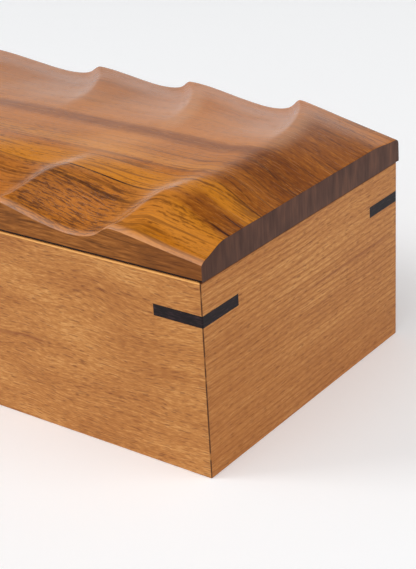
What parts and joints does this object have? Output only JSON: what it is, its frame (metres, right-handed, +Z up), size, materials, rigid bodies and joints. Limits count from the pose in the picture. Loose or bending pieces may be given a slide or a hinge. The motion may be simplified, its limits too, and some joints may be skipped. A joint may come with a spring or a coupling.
{
  "type": "sliding lid box",
  "caption": "Long wooden keepsake box with mitred, keyed corners and a wave-carved lid that slides out endways in grooves.",
  "frame": {"origin": "centre of the body's footprint, on the surface that the box stands on", "axes": "+X along the box to its closed end, +Y to the back, +Z up; the lid slides out towards -X"},
  "size_m": [0.3012, 0.1325, 0.0966],
  "materials": {
    "body_wood": "oiled satin, fine straight grain",
    "lid_wood": "oiled, polished by hand, dark streaked grain",
    "key_wood": "oiled black hardwood, sanded flush",
    "panel_wood": "plain sanded, lightly oiled"
  },
  "bodies": {
    "box": {"front_wall": "body_wood", "back_wall": "body_wood", "right_end_wall": "body_wood", "left_end_wall": "body_wood", "front_right_key": "key_wood", "front_left_key": "key_wood", "back_right_key": "key_wood", "back_left_key": "key_wood", "bottom_panel": "panel_wood"},
    "lid": {"carved_lid": "lid_wood", "lid_slide_panel": "panel_wood", "lid_end_strip": "body_wood"}
  },
  "joints": [
    {"name": "lid_slide", "type": "slide", "parent": "box", "child": "lid", "axis": [-1, 0, 0], "range_m": [0, 0.28]}
  ]
}
